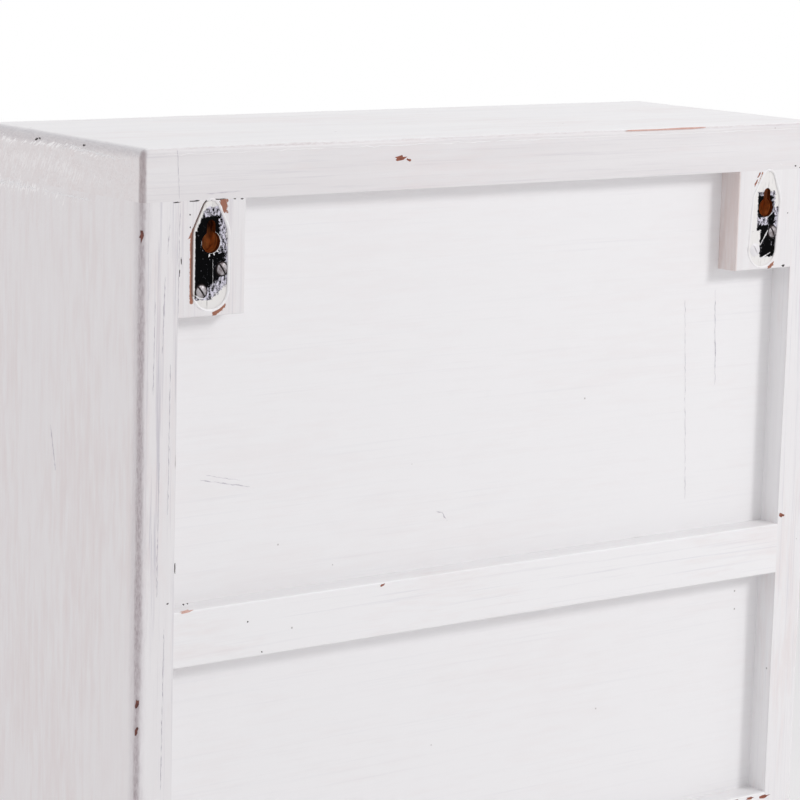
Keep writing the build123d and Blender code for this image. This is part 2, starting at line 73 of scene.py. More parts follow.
def addNode(tree, kind, inputs=None, **settings):
    node = tree.nodes.new("ShaderNode" + kind)
    if kind == "Mix":
        node.data_type = "RGBA"  # only colours are mixed here
    for name, value in settings.items():
        setattr(node, name, value)
    setInputs(tree, node, inputs or [])
    return node


def newMaterial(name):
    material = bpy.data.materials.new(name)
    material.use_nodes = True
    tree = material.node_tree
    tree.nodes.clear()
    shader = addNode(tree, "BsdfPrincipled")
    addNode(tree, "OutputMaterial", {"Surface": shader})
    coordinate = addNode(tree, "TexCoord")
    place = addNode(tree, "VectorMath", {0: coordinate.outputs["Object"], "Scale": 1000.0},
                    operation="SCALE")  # Object coordinates in mm
    return material, tree, shader, place


# Camera, fitted to the edges and corners of the case in the photo. Places in mm.
camera = {
    "place": (829.58, 1098.31, 591.51),
    "aim": (57.31, 77.0, 367.67),
    "roll": 1.48,  # degrees
    "lens": 136.77,  # mm
    "frameWidth": 36,
}


def pointAt(obj, place, aim, roll=0.0):
    look = (Vector(aim) - Vector(place)) * mm
    turn = look.to_track_quat("-Z", "Y").to_matrix() @ Matrix.Rotation(math.radians(roll), 3, "Z")
    obj.matrix_world = Matrix.Translation(Vector(place) * mm) @ turn.to_4x4()
    bpy.context.scene.collection.objects.link(obj)


def makeCamera():
    data = bpy.data.cameras.new("photoCamera")
    data.lens = camera["lens"]
    data.sensor_width = camera["frameWidth"]
    data.clip_start = 0.01
    data.clip_end = 50
    obj = bpy.data.objects.new("photoCamera", data)
    pointAt(obj, camera["place"], camera["aim"], camera["roll"])
    bpy.context.scene.camera = obj


# Light: an even white room, a soft key lamp and two weak fills. Places in mm.
room = {"color": "FEFDFF", "strength": 0.66}
lamps = {
    "keyLamp": {"place": (-900, 1400, 1150), "aim": (0, 77, 330), "size": 420, "watts": 10.2},
    "sideFill": {"place": (2100, 60, 1000), "aim": (188, 0, 330), "size": 460, "watts": 5.6},
    "topFill": {"place": (-1000, -200, 2300), "aim": (-60, 0, 480), "size": 1500, "watts": 6.4},
}
floorLook = {"color": "F2F1F1", "mottle": "EFEEEE", "roughness": 0.9, "mottleSize": 60, "size": 8000}


def makeRoom():
    world = bpy.data.worlds.new("room")
    bpy.context.scene.world = world
    world.use_nodes = True
    tree = world.node_tree
    tree.nodes.clear()
    path = addNode(tree, "LightPath")
    seen = addNode(tree, "Math", [path.outputs["Is Camera Ray"], path.outputs["Is Glossy Ray"]],
                   operation="MAXIMUM")
    clear = addNode(tree, "Math", [seen, path.outputs["Is Transmission Ray"]], operation="MAXIMUM")
    roomLight = addNode(tree, "Background",
                        {"Color": toLinear(room["color"]), "Strength": room["strength"]})
    backdrop = addNode(tree, "Background", {"Color": (1, 1, 1, 1), "Strength": 1.0})
    either = addNode(tree, "MixShader", [clear, roomLight, backdrop])
    addNode(tree, "OutputWorld", {"Surface": either})


def makeLamps():
    for name, lamp in lamps.items():
        data = bpy.data.lights.new(name, "AREA")
        data.shape = "DISK"
        data.size = lamp["size"] * mm
        data.energy = lamp["watts"]
        pointAt(bpy.data.objects.new(name, data), lamp["place"], lamp["aim"])


def makeFloor():
    # matt pale emulsion, rolled: even, with a faint mottle
    material, tree, shader, place = newMaterial("mattEmulsionFloor")
    mottle = addNode(tree, "TexNoise", {"Vector": place, "Scale": 1 / floorLook["mottleSize"]})
    tone = addNode(tree, "Mix", [mottle, toLinear(floorLook["color"]), toLinear(floorLook["mottle"])])
    setInputs(tree, shader, {"Base Color": tone, "Roughness": floorLook["roughness"]})
    shape = bmesh.new()
    bmesh.ops.create_grid(shape, x_segments=1, y_segments=1, size=floorLook["size"] * mm / 2)
    mesh = bpy.data.meshes.new("floor")
    shape.to_mesh(mesh)
    shape.free()
    mesh.materials.append(material)
    obj = bpy.data.objects.new("floor", mesh)
    bpy.context.scene.collection.objects.link(obj)


bpy.context.scene.view_settings.view_transform = "Standard"
makeCamera()
makeRoom()
makeLamps()
makeFloor()
print("camera, light and floor ready")


seedShift = (3.7, 1.9, 2.3)  # in waves, how far each seed moves a pattern


def grainNoise(tree, place, sizes, seed, detail=3.0, rough=0.55):
    # noise whose waves are as long along X, Y and Z as sizes says, in mm
    shifted = addNode(tree, "Mapping",
                      {"Vector": place, "Location": tuple(seed * shift for shift in seedShift),
                       "Scale": tuple(1 / size for size in sizes)})
    return addNode(tree, "TexNoise",
                   {"Vector": shifted, "Scale": 1.0, "Detail": detail, "Roughness": rough})


def alongGrain(grain, length, width):
    return tuple(length if axis == grain else width for axis in "xyz")


def arrisDistance(tree, place, box):
    # how far a point of a board's surface is from the nearest arris, in mm
    split = addNode(tree, "SeparateXYZ", [place])
    gaps = []
    for index in range(3):
        low, high = box[0][index] / mm, box[1][index] / mm
        offset = addNode(tree, "Math", [split.outputs[index], (low + high) / 2], operation="SUBTRACT")
        away = addNode(tree, "Math", [offset], operation="ABSOLUTE")
        gaps.append(addNode(tree, "Math", [(high - low) / 2, away], operation="SUBTRACT"))
    small = addNode(tree, "Math", [gaps[0], gaps[1]], operation="MINIMUM")
    large = addNode(tree, "Math", [gaps[0], gaps[1]], operation="MAXIMUM")
    rest = addNode(tree, "Math", [large, gaps[2]], operation="MINIMUM")
    return addNode(tree, "Math", [small, rest], operation="MAXIMUM")


# Wave lengths in mm of a band's torn edge along an arris, of its slow change in width, and of its fibres;
# some bands are rubbed wear, others painted shade on rounded arrises
wearAndShadeBandWaves = {"torn": (9, 1.6), "slow": (120, 120), "fine": (3, 0.8)}


def wearAndShadeBand(tree, place, line, seed):
    # a band along an arris that runs along one axis through a place in mm; it draws rubbed wear, and
    # painted shade on rounded arrises
    grain = line["along"]
    flat = alongGrain(grain, 0.0, 1.0)
    offset = addNode(tree, "VectorMath", [place, line["through"]], operation="SUBTRACT")
    across = addNode(tree, "VectorMath", [offset, flat], operation="MULTIPLY")
    away = addNode(tree, "VectorMath", [across], operation="LENGTH")
    ragged = grainNoise(tree, place, alongGrain(grain, *wearAndShadeBandWaves["torn"]), seed, 5.0, 0.7)
    slow = grainNoise(tree, place, alongGrain(grain, *wearAndShadeBandWaves["slow"]), seed + 3, 2.0)
    wide = addNode(tree, "MapRange", [slow, 0.35, 0.65, line["narrow"], line["wide"]])
    reach = addNode(tree, "Math", [ragged, 0.5], operation="ADD")
    reach = addNode(tree, "Math", [reach, wide], operation="MULTIPLY")
    inside = addNode(tree, "Math", [reach, away], operation="SUBTRACT")
    fine = grainNoise(tree, place, alongGrain(grain, *wearAndShadeBandWaves["fine"]), seed + 7, 4.0, 0.7)
    depth = addNode(tree, "MapRange", [fine, 0.42, 0.66, line["faint"], line["strong"]])
    edge = addNode(tree, "MapRange", [inside, -line["soft"], line["soft"]],
                   interpolation_type="SMOOTHSTEP")
    return addNode(tree, "Math", [edge, depth], operation="MULTIPLY")


tornEdge = {"size": 1.3, "soft": 0.15}  # mm


def raggedAreas(tree, place, centre, areas, seed):
    # Areas on the back: how deep the edge is torn, and then the straight lines it lies inside. A line is
    # an angle, seen from behind and counted from the right, and how far out the area begins, in mm.
    offset = addNode(tree, "VectorMath", [place, centre], operation="SUBTRACT")
    tear = grainNoise(tree, place, (tornEdge["size"],) * 3, seed, 4.0, 0.75)
    whole = None
    for tornBy, *lines in areas:
        inside = None
        for angle, start in lines:
            turn = math.radians(angle)
            out = addNode(tree, "VectorMath", [offset, (-math.cos(turn), 0, math.sin(turn))],
                          operation="DOT_PRODUCT")
            past = addNode(tree, "Math", [out, start], operation="SUBTRACT")
            inside = past if inside is None else addNode(tree, "Math", [inside, past],
                                                         operation="MINIMUM")
        torn = addNode(tree, "MapRange", [tear, 0.25, 0.75, -tornBy, tornBy])
        edge = addNode(tree, "Math", [inside, torn], operation="ADD")
        mask = addNode(tree, "MapRange", [edge, -tornEdge["soft"], tornEdge["soft"]],
                       interpolation_type="SMOOTHSTEP")
        whole = mask if whole is None else addNode(tree, "Math", [whole, mask], operation="MAXIMUM")
    return whole


# White water paint brushed by hand over a red-brown wood: semi-matt, with bristle tracks where the
# bluish undercoat shows, a little pink where the wood bleeds through, and rubbed arrises.
paint = {
    "white": "EDECED",
    "track": "B9B6C2",
    "bleed": "E0D4D3",
    # the grey undercoat tone used as painted shade on the edges that face the back
    "undercoatAndShade": "DAD6D7",
    # the whiter colour painted on crests of thick paint as painted highlights
    "paintedHighlight": "FCFAFA",
    "wood": "7A4E42",
    "darkWood": "46302F",
    "speck": "6B5A58",
    "tracks": (75.0, 1.1),  # mm length of a bristle's track, and from one track to the next
    "strokes": (160.0, 9.0),  # mm length and width of a brush stroke
    "mottle": (99.0, 45.0),
    "patches": (26.0, 3.5),
    "rubs": (14.0, 2.2),
    "rubStretch": 30.0,
    "rubReach": 3.0,
    "speckGap": 14.0,
    "speckSize": (0.02, 0.045),  # in gaps
    "speckShare": 0.8,  # cells without a speck
    "roughness": 0.46,
    "relief": 0.10,  # mm height of the bristle tracks
    "pips": 1.7,  # mm from pip to pip where thick paint dried in a stipple
    "pipHeight": 6.0,  # in heights of the bristle tracks
    "pipsFrom": (425.0, 470.0),  # mm, Z
    "backEdge": (75.0, 76.0),  # mm, the Y past which a face looks to the back
    # mm, the Y past which the edges that face the back get painted shade
    "backShadeEdge": (75.5, 76.2),
    "rightFace": (186.8, 187.8),  # mm, X
}
plainLook = {"grain": "x", "tracks": 0.3, "backTracks": 1.0, "bleed": 0.3, "wear": 0.3, "lines": (),
             "stipple": 0.0, "bare": None, "tint": None, "backShade": 0.0, "ridges": ()}
# how the painted highlights on crests of thick paint are broken up
highlightCrests = {"size": (2.0, 0.9, 5.5), "bend": 14.0, "wander": 3.0, "share": (0.72, 0.46), "soft": 0.08}


def paintedCrestHighlight(tree, place, split, ridge, seed):
    # painted highlights: crests of thick paint on the right side coloured whiter, across a line from one Y
    # to another at a height Z
    (startY, startZ), (endY, endZ) = ridge["from"], ridge["to"]
    middle = addNode(tree, "MapRange", [split.outputs[1], startY, endY, startZ, endZ])
    wander = grainNoise(tree, place, (highlightCrests["bend"],) * 3, seed, 2.0)
    wander = addNode(tree, "MapRange", [wander, 0.0, 1.0, -highlightCrests["wander"], highlightCrests["wander"]])
    middle = addNode(tree, "Math", [middle, wander], operation="ADD")
    away = addNode(tree, "Math", [split.outputs[2], middle], operation="SUBTRACT")
    away = addNode(tree, "Math", [away], operation="ABSOLUTE")
    near = addNode(tree, "MapRange", [away, ridge["width"], 0.0])
    fade = addNode(tree, "MapRange", [split.outputs[1], *ridge["fade"], 1.0, 0.0])
    outer = addNode(tree, "MapRange", [split.outputs[0], *paint["rightFace"]])
    near = addNode(tree, "Math", [near, fade], operation="MULTIPLY")
    near = addNode(tree, "Math", [near, outer], operation="MULTIPLY")
    leaned = addNode(tree, "Mapping", {"Vector": place, "Rotation": (math.radians(ridge["lean"]), 0, 0)})
    rough = grainNoise(tree, leaned, highlightCrests["size"], seed + 1, 4.0, 0.7)
    share = addNode(tree, "MapRange", [near, 0.0, 1.0, *highlightCrests["share"]])
    above = addNode(tree, "Math", [rough, share], operation="SUBTRACT")
    return addNode(tree, "MapRange", [above, 0.0, highlightCrests["soft"], 0.0, ridge["amount"]])


def brushedPaint(name, box, **changes):
    look = {**plainLook, **changes}
    grain = look["grain"]
    seed = sum(ord(letter) for letter in name) % 97
    material, tree, shader, place = newMaterial(name)
    split = addNode(tree, "SeparateXYZ", [place])

    # bristle tracks, deeper on the edges that face the back
    bristles = grainNoise(tree, place, alongGrain(grain, *paint["tracks"]), seed, 4.0, 0.65)
    strokes = grainNoise(tree, place, alongGrain(grain, *paint["strokes"]), seed + 5)
    thin = addNode(tree, "MapRange", [bristles, 0.54, 0.74, 0.0, look["tracks"]])
    deep = addNode(tree, "MapRange", [strokes, 0.42, 0.62, 0.3, 1.0])
    tracks = addNode(tree, "Math", [thin, deep], operation="MULTIPLY")
    backEdge = addNode(tree, "MapRange", [split.outputs[1], *paint["backEdge"], 1.0, look["backTracks"]])
    tracks = addNode(tree, "Math", [tracks, backEdge], operation="MULTIPLY", use_clamp=True)
    coat = addNode(tree, "Mix", [tracks, toLinear(paint["white"]), toLinear(paint["track"])])

    # painted shade on the edges that face the back: a grey undercoat tone mixed in, thinly covered in
    # stripes
    backShadeMix = addNode(tree, "MapRange", [strokes, 0.35, 0.6, 0.6, 1.0])
    backShadeAmount = addNode(tree, "MapRange",
                        [split.outputs[1], *paint["backShadeEdge"], 0.0, look["backShade"]])
    backShadeMix = addNode(tree, "Math", [backShadeMix, backShadeAmount], operation="MULTIPLY")
    coat = addNode(tree, "Mix", [backShadeMix, coat, toLinear(paint["undercoatAndShade"])])

    # wood colour bleeding through in soft patches
    mottle = grainNoise(tree, place, alongGrain(grain, *paint["mottle"]), seed + 9)
    patchy = grainNoise(tree, place, alongGrain(grain, *paint["patches"]), seed + 11, 4.0, 0.6)
    both = addNode(tree, "Math", [mottle, patchy], operation="ADD")
    pink = addNode(tree, "MapRange", [both, 0.98, 1.30, 0.0, look["bleed"]])
    coat = addNode(tree, "Mix", [pink, coat, toLinear(paint["bleed"])])
    if look["tint"]:
        tint = look["tint"]
        side = addNode(tree, "MapRange", [split.outputs[0], *tint["from"], 0.0, tint["amount"]])
        broken = addNode(tree, "MapRange", [patchy, 0.3, 0.6, 0.55, 1.0])
        side = addNode(tree, "Math", [side, broken], operation="MULTIPLY")
        coat = addNode(tree, "Mix", [side, coat, toLinear(tint["color"])])

    # small dark specks of dirt, one cell in five has one
    cells = addNode(tree, "TexVoronoi", {"Vector": place, "Scale": 1 / paint["speckGap"]})
    chance = addNode(tree, "SeparateXYZ", [cells.outputs["Color"]])
    close = addNode(tree, "MapRange", [cells.outputs["Distance"], *paint["speckSize"], 0.6, 0.0])
    chosen = addNode(tree, "Math", [chance.outputs[0], paint["speckShare"]], operation="GREATER_THAN")
    specks = addNode(tree, "Math", [close, chosen], operation="MULTIPLY")
    coat = addNode(tree, "Mix", [specks, coat, toLinear(paint["speck"])])

    # rubbed arrises, in short stretches
    distance = arrisDistance(tree, place, box)
    ragged = grainNoise(tree, place, alongGrain(grain, *paint["rubs"]), seed + 13, 5.0, 0.65)
    stretches = grainNoise(tree, place, (paint["rubStretch"],) * 3, seed + 17, 2.0)
    reach = addNode(tree, "MapRange", [stretches, 0.56, 0.74, 0.0, paint["rubReach"] * look["wear"]])
    rubbed = addNode(tree, "Math", [ragged, reach], operation="MULTIPLY")
    inside = addNode(tree, "Math", [rubbed, distance], operation="SUBTRACT")
    bare = addNode(tree, "MapRange", [inside, -0.05, 0.45, 0.0, 0.85], interpolation_type="SMOOTHSTEP")
    # bands along arrises: rubbed wear, and painted shade on rounded arrises
    for index, line in enumerate(look["lines"]):
        band = wearAndShadeBand(tree, place, line, seed + 20 + 5 * index)
        coat = addNode(tree, "Mix", [band, coat, toLinear(line["color"])])
    timber = addNode(tree, "Mix", [ragged, toLinear(paint["wood"]), toLinear(paint["darkWood"])])
    color = addNode(tree, "Mix", [bare, coat, timber])
    if look["bare"]:
        color, bare = bareWood(tree, place, split, look["bare"], color, bare, seed)
    # painted highlights: crests of thick paint coloured whiter
    for index, ridge in enumerate(look["ridges"]):
        crestHighlight = paintedCrestHighlight(tree, place, split, ridge, seed + 50 + 3 * index)
        color = addNode(tree, "Mix", [crestHighlight, color, toLinear(paint["paintedHighlight"])])

    gloss = addNode(tree, "MapRange",
                    [strokes, 0.3, 0.7, paint["roughness"] - 0.08, paint["roughness"] + 0.12])
    height = addNode(tree, "Math", [bristles, strokes], operation="ADD")
    if look["stipple"]:
        # thick gloss that dried in a fine stipple near the top of the case
        pips = grainNoise(tree, place, (paint["pips"],) * 3, seed + 31, 2.0, 0.6)
        high = addNode(tree, "MapRange", [split.outputs[2], *paint["pipsFrom"], 0.1, 1.0])
        outer = addNode(tree, "MapRange", [split.outputs[0], *paint["rightFace"], 0.0, look["stipple"]])
        high = addNode(tree, "Math", [high, outer], operation="MULTIPLY")
        pips = addNode(tree, "Math", [pips, high], operation="MULTIPLY")
        pips = addNode(tree, "Math", [pips, paint["pipHeight"]], operation="MULTIPLY")
        height = addNode(tree, "Math", [height, pips], operation="ADD")
        wet = addNode(tree, "Math", [high, 0.25], operation="MULTIPLY")
        gloss = addNode(tree, "Math", [gloss, wet], operation="SUBTRACT")
    lowered = addNode(tree, "Math", [height, bare], operation="SUBTRACT")
    bump = addNode(tree, "Bump", {"Height": lowered, "Strength": 0.6, "Distance": paint["relief"] * mm})
    setInputs(tree, shader, {"Base Color": color, "Roughness": gloss, "Normal": bump})
    return material


# Bare red-brown wood in the mortises and head pockets, and where the plates' edges broke the paint
bareWoodLook = {
    "color": "F29A50",
    "dark": "84401A",
    "worn": "96604A",
    "fibre": (2.6, 2.6, 5.0),
    "slotPaintedFrom": (2.0, 6.0),  # mm over the keyhole's centre, where the slot's painted tone begins
    "back": (65.6, 66.2),  # mm, the Y of the head pocket's floor
    "reach": (10.8, 10.4),  # mm from the centre of the head pocket
    "flatten": (1, 0, 0.38),
}


def nearKeyhole(tree, place, centre, flatten, reach):
    offset = addNode(tree, "VectorMath", [place, centre], operation="SUBTRACT")
    flat = addNode(tree, "VectorMath", [offset, flatten], operation="MULTIPLY")
    away = addNode(tree, "VectorMath", [flat], operation="LENGTH")
    return addNode(tree, "MapRange", [away, *reach])


def bareWood(tree, place, split, bareness, color, bare, seed):
    centre = bareness["centre"]
    fibre = grainNoise(tree, place, bareWoodLook["fibre"], seed + 41, 5.0)
    fibre = addNode(tree, "MapRange", [fibre, 0.34, 0.66])
    tone = addNode(tree, "Mix", [fibre, toLinear(bareWoodLook["dark"]), toLinear(bareWoodLook["color"])])
    # the keyhole slot above the centre: painted shade darkens the right one, and the left one is coloured a
    # lighter tan
    low, high = (centre.z + rise for rise in bareWoodLook["slotPaintedFrom"])
    raised = addNode(tree, "MapRange", [split.outputs[2], low, high, 0.0, bareness["slotPaintedAmount"]])
    tone = addNode(tree, "Mix", [raised, tone, toLinear(bareness["slotPaintedTone"])])
    below = addNode(tree, "MapRange", [split.outputs[1], bareness["depth"], bareness["depth"] - 0.3])
    inward = addNode(tree, "MapRange", [split.outputs[1], *bareWoodLook["back"]])
    near = nearKeyhole(tree, place, centre, bareWoodLook["flatten"], bareWoodLook["reach"])
    hollow = addNode(tree, "Math", [below, near], operation="MULTIPLY")
    hollow = addNode(tree, "Math", [hollow, inward], operation="MULTIPLY")
    broken = raggedAreas(tree, place, centre, bareness["areas"], seed + 43)
    whole = addNode(tree, "Math", [hollow, broken], operation="MAXIMUM")
    worn = addNode(tree, "Mix", [broken, tone, toLinear(bareWoodLook["worn"])])
    mixed = addNode(tree, "Mix", [whole, color, worn])
    return mixed, addNode(tree, "Math", [bare, whole], operation="MAXIMUM")


def dress(node, material):
    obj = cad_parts[node]
    obj.data.materials.clear()
    obj.data.materials.append(material)


def makePiece(name, shape, material, body="case", sharp=35):
    shape.normal_update()
    for face in shape.faces:
        face.smooth = True
    for edge in shape.edges:
        edge.smooth = edge.is_manifold and edge.calc_face_angle() < math.radians(sharp)
    mesh = bpy.data.meshes.new(name)
    shape.to_mesh(mesh)
    shape.free()
    mesh.materials.append(material)
    obj = bpy.data.objects.new(name, mesh)
    bpy.context.scene.collection.objects.link(obj)
    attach(obj, body)
    return obj


# The boards' relief: hand planed, sanded and thickly painted, so no face is quite flat
handWork = {
    "spacing": 4.0,  # mm between the cuts that let a face bend
    "blockSpacing": 1.6,
    "depth": 0.30,  # mm that the paint lies under the stated outline
    "wave": 38.0,
    "waveHeight": 0.17,
    "ripple": 8.0,
    "rippleHeight": 0.05,
    "reach": 2.4,  # mm over which the sinking fades from an outer face inwards
}
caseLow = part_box("bottom_board")[0] / mm
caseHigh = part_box("top_board")[1] / mm


def sunkBy(place):
    # how deep the hand worked surface lies under the stated outline, in mm
    wave = handWork["waveHeight"] * noise.noise(place / handWork["wave"])
    ripple = handWork["rippleHeight"] * noise.noise(place / handWork["ripple"])
    return handWork["depth"] + wave + ripple


def sinkOutline(verts):
    for vert in verts:
        place = vert.co / mm
        sink = sunkBy(place)
        for axis in range(3):
            for side, outline in ((-1, caseLow[axis]), (1, caseHigh[axis])):
                near = max(0.0, 1 - abs(place[axis] - outline) / handWork["reach"])
                vert.co[axis] -= side * sink * near * near * (3 - 2 * near) * mm


def cutAcross(shape, low, high, spacing):
    for axis in range(3):
        length = (high[axis] - low[axis]) / mm
        count = math.ceil(length / spacing)
        normal = Vector((axis == 0, axis == 1, axis == 2))
        for index in range(1, count):
            place = normal * (low[axis] + index * length / count * mm)
            bmesh.ops.bisect_plane(shape, geom=shape.verts[:] + shape.edges[:] + shape.faces[:],
                                   dist=1e-7, plane_co=place, plane_no=normal)


def handWorkedBoard(node, spacing, **look):
    low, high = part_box(node)
    shape = bmesh.new()
    shape.from_mesh(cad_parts[node].data)
    bmesh.ops.remove_doubles(shape, verts=shape.verts[:], dist=1e-6)
    cutAcross(shape, low, high, spacing)
    sinkOutline(shape.verts)
    bmesh.ops.triangulate(shape, faces=[face for face in shape.faces if len(face.verts) > 3])
    piece = makePiece("painted_" + node, shape, brushedPaint("brushedPaint_" + node, (low, high), **look))
    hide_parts(node)


rightPlate = Vector((154.6, 77.0, 440.6))  # the keyhole centres, mm
leftPlate = Vector((-153.7, 77.0, 440.6))
# Bands along arrises. The purple-grey bands at the case's back right corner are painted shade of the
# rounded arris, partly rubbed wear; the soft band beside them paints shade on the side; the grey band on
# the top board's end is painted shade of its rounded top edge; the band on the top's back arris is rubbed
# wear.
shadeAndWearBack = {"along": "z", "through": (188.3, 76.8, 0), "narrow": 1.5, "wide": 2.3, "faint": 0.35,
            "strong": 0.85, "soft": 0.9, "color": "9C8F94"}
shadeBack = {"along": "z", "through": (188.3, 75.5, 0), "narrow": 3.2, "wide": 4.4, "faint": 0.35,
             "strong": 0.55, "soft": 2.2, "color": "BCB4B8"}
shadeAndWearCorner = {"along": "z", "through": (188.2, 76.7, 0), "narrow": 1.7, "wide": 2.3, "faint": 0.6,
              "strong": 0.85, "soft": 0.9, "color": "948588"}
wornTop = {"along": "x", "through": (0, 76.8, 479.8), "narrow": 0.8, "wide": 1.5, "faint": 0.05,
           "strong": 0.4, "soft": 0.5, "color": "A88E8C"}
shadedTopEnd = {"along": "y", "through": (187.6, 0, 478.2), "narrow": 2.2, "wide": 3.2, "faint": 0.35,
              "strong": 0.6, "soft": 1.6, "color": "B5B1B6"}
rightBare = {
    "centre": rightPlate, "depth": 76.3, "slotPaintedTone": "2C1008", "slotPaintedAmount": 0.75,
    "areas": [
        (0.35, (180, 8.7), (0, -10.4), (-90, -3.4), (90, -24.5)),
        (0.35, (153.4, 9.4), (-26.6, -11.0), (-90, -14.5), (90, 2.0)),
        (1.5, (0, 2.6), (180, -7.2), (90, 12.0), (-45, -9.5)),
        (0.7, (-60, 25.2), (120, -27.0), (0, 0.8), (180, -7.0)),
    ],
}
leftBare = {
    "centre": leftPlate, "depth": 76.3, "slotPaintedTone": "E8B48C", "slotPaintedAmount": 0.5,
    "areas": [
        (0.8, (158, 8.4), (-22, -9.8), (90, 9.5), (-90, -16.5)),
        (0.6, (-60, 25.0), (120, -26.6), (0, 2.4), (180, -6.0)),
    ],
}
# Bands of painted highlights on crests of thick paint near the top of the right side, and a broad painted
# sheen above them
lowRidgeHighlight = {"from": (-53, 455.5), "to": (77, 455.2), "width": 6.5, "fade": (-10, 62), "lean": 25,
            "amount": 0.9}
highRidgeHighlight = {"from": (15, 475.2), "to": (65, 473.8), "width": 3.2, "fade": (50, 66), "lean": 60,
             "amount": 0.95}
paintedSheenBand = {"from": (-53, 468), "to": (77, 464), "width": 16.0, "fade": (20, 80), "lean": 30,
             "amount": 0.45}
boards = {
    "top_board": {"grain": "x", "tracks": 0.12, "backTracks": 8.0, "backShade": 0.68, "stipple": 0.8,
                  "lines": (wornTop, shadedTopEnd, shadeAndWearCorner), "ridges": (paintedSheenBand, highRidgeHighlight, lowRidgeHighlight),
                  "tint": {"from": (186.5, 188.0), "amount": 0.4, "color": "DED0CE"}},
    "bottom_board": {"grain": "x", "backTracks": 2.5, "backShade": 0.4,
                     "tint": {"from": (186.5, 188.0), "amount": 0.4, "color": "DED0CE"}},
    "right_side": {"grain": "z", "tracks": 0.1, "backTracks": 20.0, "backShade": 0.5, "bleed": 0.4,
                   "stipple": 0.6, "lines": (shadeBack, shadeAndWearBack), "ridges": (lowRidgeHighlight,),
                   "tint": {"from": (186.5, 188.0), "amount": 0.35, "color": "DED3D3"}},
    "left_side": {"grain": "z", "tracks": 0.3, "backTracks": 2.5, "backShade": 0.3, "bleed": 0.5},
    "upper_back_rail": {"grain": "x", "tracks": 0.25, "backTracks": 1.3},
    "lower_back_rail": {"grain": "x", "tracks": 0.25, "backTracks": 1.3},
}
blocks = {
    "right_hanger_block": {"grain": "z", "tracks": 0.9, "backShade": 0.5, "bare": rightBare,
                           "wear": 0.15},
    # the tint darkens this block's face towards the middle: the wood's pink showing through, and painted
    # shade
    "left_hanger_block": {"grain": "z", "tracks": 0.4, "backShade": 0.45, "bare": leftBare, "wear": 0.15,
                          "tint": {"from": (-136.6, -135.8), "amount": 0.75, "color": "D9C8C3"}},
}
for node, look in boards.items():
    handWorkedBoard(node, handWork["spacing"], **look)
for node, look in blocks.items():
    handWorkedBoard(node, handWork["blockSpacing"], **look)
print("boards and blocks ready")

paintedNodes = {
    "back_panel": {"grain": "x", "tracks": 0.12, "bleed": 0.12},
    "upper_shelf": {"grain": "x"}, "lower_shelf": {"grain": "x"},
    "left_shelf_cleats": {"grain": "y"}, "right_shelf_cleats": {"grain": "y"},
    "door_hinge_stile": {"grain": "z"}, "door_latch_stile": {"grain": "z"},
    "door_top_rail": {"grain": "x"}, "door_bottom_rail": {"grain": "x"},
    "mirror_side_beads": {"grain": "z"}, "mirror_end_beads": {"grain": "x"},
    "door_knob": {"grain": "z", "wear": 0.0},
    "top_nails": {"grain": "z"}, "bottom_nails": {"grain": "z"},
    "rail_nails": {"grain": "y"}, "block_nails": {"grain": "y"},
}
for node, look in paintedNodes.items():
    dress(node, brushedPaint("brushedPaint_" + node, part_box(node), **look))


# Black lacquered sheet steel, caught by the paint brush: deep black, with solid white where the brush
# was full, and dry specks where it only brushed over. Inside the keyholes the cut edge has rusted.
lacquer = {
    "black": "020203",
    "smear": "DCD9E6",
    "cream": "E8E6E4",
    "rust": "5E2C12",
    "roughness": 0.5,
    "smearRoughness": 0.6,
    "specular": 0.03,
    "grit": (1.2, 1.2, 2.2),
    "drag": (1.0, 1.0, 9.0),
    "smearHeight": 0.12,
    "keyholeReach": (6.2, 5.8),  # mm from the keyhole's centre
    "flatten": (1, 0, 0.42),
    "face": (76.15, 75.9),  # mm, the Y of the plate's face
}
rightSmears = [
    (0.9, (90, 14.4)),
    (0.3, (180, 7.6)),
    (0.9, (153.4, 8.6)),
    (1.2, (0, 7.6), (90, -1.5)),
    (1.6, (-54.4, 19.2), (0, 1.0)),
    (0.4, (-90, 23.4)),
]
rightDry = [
    (1.2, (90, 10.6)),
    (2.4, (0, 4.2), (90, -3.5)),
    (1.2, (0, 7.0), (90, -10.0)),
    (2.0, (-54.4, 14.4)),
]
leftSmears = [
    (0.6, (180, 5.2), (90, -11.0)),
    (0.8, (180, 2.9), (-90, 10.5)),
    (0.8, (90, 7.4)),
    (1.2, (0, 5.6), (90, 0.0)),
    (0.8, (-90, 23.0)),
]
leftDry = [
    (0.8, (90, 5.6)),
    (1.6, (90, -2.0), (0, 4.2)),
    (1.6, (0, 5.8), (90, -14.0)),
    (1.4, (-90, 4.6), (90, -8.0), (180, -1.5)),
]


